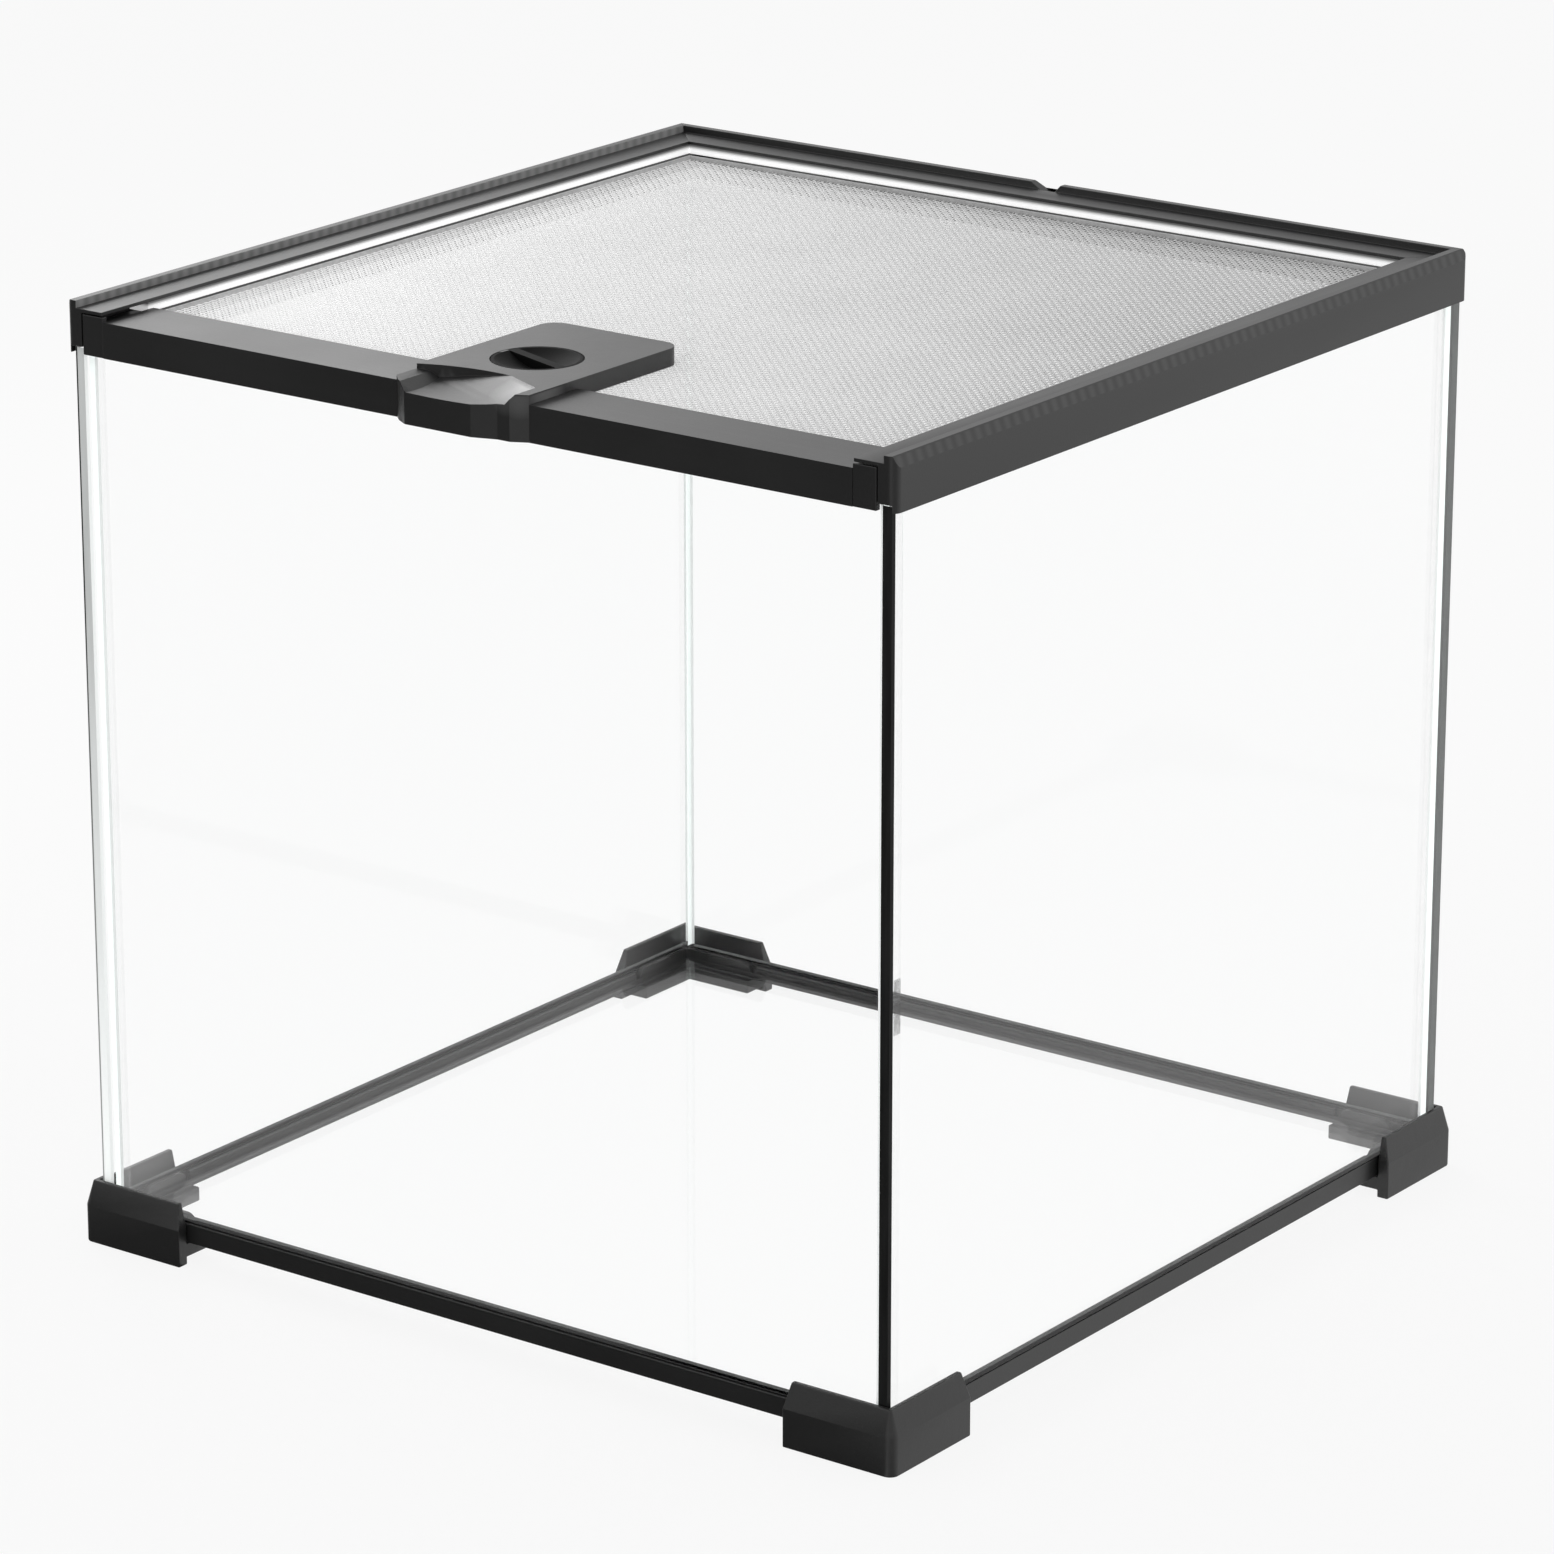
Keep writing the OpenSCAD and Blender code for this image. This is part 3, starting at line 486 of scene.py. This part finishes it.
# %% Black bars, strips and feet
EDGE = 0.18 * MM
MOULDED_EDGE = 0.3 * MM
FOOT_FACET = math.radians(30.0)
LIP_H = 1.4 * MM
FACING_RIGHT = 0.9
SLOPING = 0.2
BOWL_RIM = 0.7 * MM
BOWL_DEPTH = 2.2 * MM
ALONG_X = [
    "back_rail", "front_sill", "front_base_strip", "back_base_strip",
    "lid_front_bar", "lid_back_bar", "mesh_strip_front", "lid_end_caps",
]
ALONG_Y = [
    "left_rail", "right_rail", "left_base_strip", "right_base_strip",
    "lid_left_bar", "lid_right_bar",
]
FEET = ["foot_front_left", "foot_front_right", "foot_back_left", "foot_back_right"]
SLIDE_STRIPS = ["left_slide_strip", "right_slide_strip", "back_slide_strip"]
lip_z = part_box("left_rail")[1].z - LIP_H
knob_low, knob_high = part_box("lock_knob")
knob_axis = (knob_low.xy + knob_high.xy) / 2
bowl_r = (knob_high.x - knob_low.x) / 2 - BOWL_RIM


def on_lip_side(face):
    return face.normal.x > FACING_RIGHT and face.center.z > lip_z


def on_chamfer(face):
    return face.normal.x > FACING_RIGHT and face.normal.z > SLOPING


def in_bowl(face):
    from_axis = (face.center.xy - knob_axis).length
    return face.center.z > knob_high.z - BOWL_DEPTH and from_axis < bowl_r


for node in ALONG_X:
    softened(node, plastic_x, EDGE)
bars = {node: softened(node, plastic_y, EDGE) for node in ALONG_Y}
give_faces(bars["left_rail"], plastic_ribbed, on_lip_side)
give_faces(bars["right_rail"], plastic_ribbed, on_chamfer)
for node in FEET:
    softened(node, plastic_moulded, MOULDED_EDGE, FOOT_FACET)
softened("lock_plate", plastic_plate, MOULDED_EDGE)
softened("lock_keeper", plastic_moulded, EDGE)
# The bowl's faces take the painted shade.
give_faces(softened("lock_knob", plastic_moulded, EDGE), plastic_bowl_shade, in_bowl)
for node in SLIDE_STRIPS:
    softened(node, strip_finish, EDGE)
print("bars", len(ALONG_X) + len(ALONG_Y), "feet", len(FEET))

# %% [markdown]
# Each pane is a sheet of float glass with ground edges. A cube is scaled to the pane's box and its
# twelve edges are bevelled as a glazier breaks them. The edges' tones are painted light. An edge that
# is glued to another pane takes the milky tone of a silicone joint, painted paler and glowing with
# painted light, and an open edge takes the ground finish that faces its way: the near edge has a
# painted reflection of the dark side of the set, the far ones are painted grey or pale. The left
# pane's front edge is painted darker along a narrow strip at its outer side.

# %% Panes
ARRIS = 0.45 * MM
DARK_STRIP = 0.8 * MM
EDGE_FINISHES = (pale_edge, grey_edge, dark_edge, soft_edge, faint_edge, glued_edge)
CLEAR, PALE, GREY, DARK, SOFT, FAINT, GLUED = range(7)
LEFT, RIGHT = (-1, 0, 0), (1, 0, 0)
FRONT, BACK = (0, -1, 0), (0, 1, 0)
LOWER, UPPER = (0, 0, -1), (0, 0, 1)
FRONT_LEFT, FRONT_RIGHT = (-1, -1, 0), (1, -1, 0)
ENDS = {UPPER: GREY, LOWER: GREY}
SEALS = ["seal_front_left", "seal_front_right", "seal_back_left", "seal_back_right", "base_seal"]


def pane(node, marks, glass=glass_finish, dark_strip=0.0):
    """A pane whose narrow faces, with their arrises, are marked by the way they face."""
    low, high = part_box(node)
    size = high - low
    thin_axis = min(range(3), key=lambda axis: size[axis])
    bm = bmesh.new()
    add_block(bm, low, high)
    break_edges(bm, ARRIS, 1)
    strip_end = low.x + dark_strip
    if dark_strip > 0.0:
        parts = bm.verts[:] + bm.edges[:] + bm.faces[:]
        bmesh.ops.bisect_plane(bm, geom=parts, plane_co=(strip_end, 0, 0), plane_no=(1, 0, 0))
    bm.normal_update()
    for face in bm.faces:
        facing = tuple(round(value) for value in face.normal)
        rim = tuple(0 if axis == thin_axis else value for axis, value in enumerate(facing))
        face.material_index = marks.get(facing, marks.get(rim, CLEAR))
        if facing == FRONT and face.calc_center_median().x < strip_end:
            face.material_index = SOFT
    piece = finished_piece(node + "_glass", mesh_from(bm, node, smooth=False), glass, [node])
    for finish in EDGE_FINISHES:
        piece.data.materials.append(finish)


left_marks = {BACK: PALE, FRONT: FAINT, FRONT_LEFT: SOFT, FRONT_RIGHT: PALE}
right_marks = {BACK: GREY, FRONT: DARK, FRONT_LEFT: PALE, FRONT_RIGHT: DARK}
pane("front_pane", ENDS | {LEFT: GLUED, RIGHT: GLUED}, front_glass)
pane("back_pane", ENDS | {LEFT: GLUED, RIGHT: GLUED})
pane("left_pane", ENDS | left_marks, dark_strip=DARK_STRIP)
pane("right_pane", ENDS | right_marks, right_glass)
pane("base_pane", {LEFT: DARK, RIGHT: DARK, FRONT: DARK, BACK: DARK})
for node in SEALS:
    frame["nodes"][node].data.materials.clear()
    frame["nodes"][node].data.materials.append(silicone_finish)
print("panes ready")

# %% [markdown]
# The net is woven from fine wire. Every wire passes over one cross wire and under the next, and
# that small wave is what gives a mesh its sparkle. A wire is a zigzag of three-sided links, one
# link per crossing, so thousands of crossings stay light enough. The wires along X are one piece
# and the wires along Y another. Where the lock's collar passes and at the net's two front
# corners, the wires are cut away. Along the side bars and the back bar the net's edge is folded
# up into a narrow hem, which is the third piece.

# %% Mesh of the lid
MESH_PITCH = 1.05 * MM
WIRE_R = 0.15 * MM
WAVE = 0.10 * MM
SIDES = 3
COLLAR_GAP = 0.7 * MM
HEM_T = 0.35 * MM
HEM_TOP = 0.65 * MM
HEM_OUT = 0.05 * MM
HEM_EDGE = 0.08 * MM
net_low, net_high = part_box("lid_mesh")
collar_low, collar_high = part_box("cam_washer")
collar_centre = (collar_low + collar_high) / 2
collar_r = (collar_high.x - collar_low.x) / 2 + COLLAR_GAP
corner_x = net_high.x - 5.8 * MM
corner_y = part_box("lid_left_bar")[0].y + 13.8 * MM


def zigzag_wire(bm, links, step, start, up):
    """One wire along X, extruded link by link from a small ring."""
    across = Matrix.Rotation(math.pi / 2, 3, "Y")
    ring = bmesh.ops.create_circle(bm, segments=SIDES, radius=WIRE_R)["verts"]
    bmesh.ops.rotate(bm, verts=ring, cent=(0, 0, 0), matrix=across)
    bmesh.ops.translate(bm, verts=ring, vec=start + Vector((0, 0, WAVE if up else -WAVE)))
    edges = list({edge for vert in ring for edge in vert.link_edges})
    for link in range(links):
        up = not up
        grown = bmesh.ops.extrude_edge_only(bm, edges=edges)["geom"]
        ring = [item for item in grown if isinstance(item, bmesh.types.BMVert)]
        edges = [item for item in grown if isinstance(item, bmesh.types.BMEdge)]
        bmesh.ops.translate(bm, verts=ring, vec=(step, 0, 2 * WAVE if up else -2 * WAVE))


def wires_along_x(low, high, up):
    """A field of parallel wires over a rectangle, every second one in the other phase."""
    bm = bmesh.new()
    links = round((high.x - low.x) / MESH_PITCH)
    rows = round((high.y - low.y) / MESH_PITCH)
    step = (high.x - low.x) / links
    gap = (high.y - low.y) / rows
    level = (low.z + high.z) / 2
    zigzag_wire(bm, links, step, Vector((low.x, low.y + gap / 2, level)), up)
    zigzag_wire(bm, links, step, Vector((low.x, low.y + gap * 1.5, level)), not up)
    pair = bm.verts[:] + bm.edges[:] + bm.faces[:]
    for row in range(2, rows - 1, 2):
        copied = bmesh.ops.duplicate(bm, geom=pair)["geom"]
        fresh = [item for item in copied if isinstance(item, bmesh.types.BMVert)]
        bmesh.ops.translate(bm, verts=fresh, vec=(0, row * gap, 0))
    return bm


def trimmed(bm):
    """A field of wires, cut away at the lock's collar and in the net's front corners."""
    inside = [vert for vert in bm.verts if (vert.co.xy - collar_centre.xy).length < collar_r]
    corner = [vert for vert in bm.verts if abs(vert.co.x) > corner_x and vert.co.y < corner_y]
    bmesh.ops.delete(bm, geom=list(set(inside + corner)), context="VERTS")
    bmesh.ops.holes_fill(bm, edges=bm.edges[:], sides=SIDES)
    bmesh.ops.recalc_face_normals(bm, faces=bm.faces)
    return bm


def net_hem():
    """The net's edge, folded up and bonded along the side bars and the back bar."""
    bm = bmesh.new()
    outer = net_high.x + HEM_OUT
    back = net_high.y + HEM_OUT
    top = net_high.z + HEM_TOP
    add_block(bm, Vector((-outer, corner_y, net_low.z)), Vector((HEM_T - outer, back, top)))
    add_block(bm, Vector((outer - HEM_T, corner_y, net_low.z)), Vector((outer, back, top)))
    add_block(bm, Vector((-outer, back - HEM_T, net_low.z)), Vector((outer, back, top)))
    break_edges(bm, HEM_EDGE, 2)
    return bm


def wire_finish():
    """Bright wire with painted sheen: paler, with a glow that stands for its glints, too small to
    render, at the near left, and darker towards the far right.
    """
    finish = Finish("net_wire", Metallic=0.0, Roughness=0.45, Emission_Strength=1.0)
    cloud = finish.noise(45.0, 3.0)
    fine = finish.noise(1500.0, 2.0)
    slant = finish.along("X") * 1.5 + finish.along("Y") * 1.2 + cloud * 0.06
    shade = finish.ramp(slant, -0.16, 0.18)
    # Painted sheen: the base colour and the glow are strongest at the near left and fade towards the
    # far right.
    finish.feed(
        Base_Color=finish.blend(shade, grey(0.95), grey(0.66)),
        Emission_Color=finish.blend(shade, grey(0.26), grey(0.07)),
        Roughness=fine * 0.2 + 0.35,
    )
    return finish.material


def hem_finish():
    finish = Finish("net_hem", Roughness=0.7)
    weave = finish.noise(900.0, 3.0)
    cloud = finish.noise(90.0, 3.0)
    finish.feed(Base_Color=finish.blend(weave * 0.6 + cloud * 0.4, grey(0.30), grey(0.75)))
    finish.bump(weave, 0.5, 0.1 * MM)
    return finish.material


def net_piece(name, bm, material, smooth=True):
    return finished_piece(name, mesh_from(bm, name, smooth), material, ["lid_mesh"])


wire = wire_finish()
net_x = net_piece("net_along_x", trimmed(wires_along_x(net_low, net_high, True)), wire)

# The wires along Y are made along X over the turned rectangle, and then turned back.
turned_low = Vector((net_low.y, -net_high.x, net_low.z))
turned_high = Vector((net_high.y, -net_low.x, net_high.z))
turn = Matrix.Rotation(math.pi / 2, 3, "Z")
cross = wires_along_x(turned_low, turned_high, False)
bmesh.ops.rotate(cross, verts=cross.verts, cent=(0, 0, 0), matrix=turn)
net_y = net_piece("net_along_y", trimmed(cross), wire)
hem = net_piece("net_hem", net_hem(), hem_finish(), smooth=False)
print("net faces", len(net_x.data.polygons), len(net_y.data.polygons), len(hem.data.polygons))

# %% [markdown]
# The small metal parts under the lid keep their CAD shapes and take the plated finish. The
# washer below the net is black plastic.

# %% Metal parts
SMALL_EDGE = 0.08 * MM
for node in ["lock_screws", "lock_cam", "cam_washer", "cam_screw"]:
    softened(node, steel_finish, SMALL_EDGE)
softened("backing_washer", plastic_moulded, SMALL_EDGE)
print("metal parts ready")

# %% [markdown]
# The stage is a pale sweep in an even, soft light. The floor looks plain white to the camera, and
# keeps a little of its real shading so that the object's contact shadow stays. Black plastic is drawn
# mostly by what it mirrors: the floor carries a painted dark reflection in front and to the left,
# which only mirror rays see and the camera doesn't, so that the front faces stay dark, while the
# right faces and the tops mirror the white sweep.
# Three soft lamps behind the tank lighten the tops of the bars. They are out of the picture and
# aren't seen through the glass.

# %% Stage and light
WHITE = 0.965
AMBIENT = 0.85
EYE_SHARE = 0.92
GLASS_SHARE = 0.95
FLOOR_REACH = 6.0
NEAR_CORNER = 0.1
# Painted reflection: bearings round the near corner where the floor is dark to mirror rays only.
LEFT_DARK_REFLECTION = (-0.50, -0.58)
RIGHT_DARK_REFLECTION_START = (-0.42, -0.36)
RIGHT_DARK_REFLECTION_END = (-0.12, 0.06)
RIGHT_DARK_REFLECTION_SHARE = 0.6
DARK_REFLECTION_LEVEL = 0.06
LAMP_AIM = Vector((0.0, 0.0, 0.1))


def floor_finish():
    """White to the eye and in the glass, pale and shaded underneath, with a painted dark reflection
    in front.
    """
    finish = Finish("pale_floor", Roughness=0.9, Specular_IOR_Level=0.0, Base_Color=grey(0.82))
    # The bearing is measured round the tank's near corner, from -1 to 1 in half turns.
    depth = finish.along("Y") + NEAR_CORNER
    across = finish.along("X") - NEAR_CORNER
    bearing = finish.math("ARCTAN2", depth, across) * (1.0 / math.pi)
    left = finish.ramp(bearing, *LEFT_DARK_REFLECTION, kind="SMOOTHSTEP")
    start = finish.ramp(bearing, *RIGHT_DARK_REFLECTION_START, kind="SMOOTHSTEP")
    end = finish.ramp(bearing, *RIGHT_DARK_REFLECTION_END, kind="SMOOTHSTEP")
    right = (start - end) * RIGHT_DARK_REFLECTION_SHARE
    # Painted reflection: mirror rays see the floor dark there, while the camera sees it white.
    dark_reflection = (left + right) * (1.0 - finish.is_ray("Singular"))
    plain = finish.is_ray("Camera") * EYE_SHARE + finish.is_ray("Transmission") * GLASS_SHARE
    white = finish.glow(WHITE)
    for_eye = finish.mix(plain, Wire(finish, finish.shader.outputs[0]), white)
    for_mirror = finish.mix(dark_reflection, white, finish.glow(1.0, DARK_REFLECTION_LEVEL))
    finish.show(finish.mix(finish.is_ray("Glossy"), for_eye, for_mirror))
    return finish.material


def studio_world():
    """White where it is seen, mirrored or looked at through glass, and weaker as the light."""
    world = bpy.data.worlds.new("studio")
    world.use_nodes = True
    nodes = Nodes(world.node_tree)
    nodes.tree.nodes.clear()
    not_direct = nodes.math("MAXIMUM", nodes.is_ray("Glossy"), nodes.is_ray("Transmission"))
    seen = nodes.math("MAXIMUM", nodes.is_ray("Camera"), not_direct)
    ambient = nodes.add("Background", {}, {"Color": grey(1.0), "Strength": AMBIENT})
    white = nodes.add("Background", {}, {"Color": grey(1.0), "Strength": WHITE})
    output = nodes.tree.nodes.new("ShaderNodeOutputWorld")
    nodes.tree.links.new(nodes.mix(seen, ambient, white).socket, output.inputs["Surface"])
    bpy.context.scene.world = world


def soft_lamp(name, place, size, power):
    """A square lamp that faces the tank and isn't itself in the picture."""
    lamp = bpy.data.objects.new(name, bpy.data.lights.new(name, "AREA"))
    lamp.data.size = size
    lamp.data.energy = power
    lamp.location = place
    lamp.rotation_euler = (Vector(place) - LAMP_AIM).to_track_quat("Z", "Y").to_euler()
    lamp.visible_camera = False
    lamp.visible_transmission = False
    bpy.context.scene.collection.objects.link(lamp)


bm = bmesh.new()
bmesh.ops.create_grid(bm, x_segments=1, y_segments=1, size=FLOOR_REACH)
floor = bpy.data.objects.new("floor", mesh_from(bm, "floor", smooth=False))
bpy.context.scene.collection.objects.link(floor)
floor.data.materials.append(floor_finish())
studio_world()
soft_lamp("near_lamp", (-0.45, 0.31, 0.45), 0.25, 0.30)
soft_lamp("left_lamp", (-0.60, 0.25, 0.62), 0.30, 1.50)
soft_lamp("back_lamp", (0.95, 1.15, 0.45), 0.60, 1.80)
bpy.context.scene.view_settings.view_transform = "Standard"
print("stage ready")
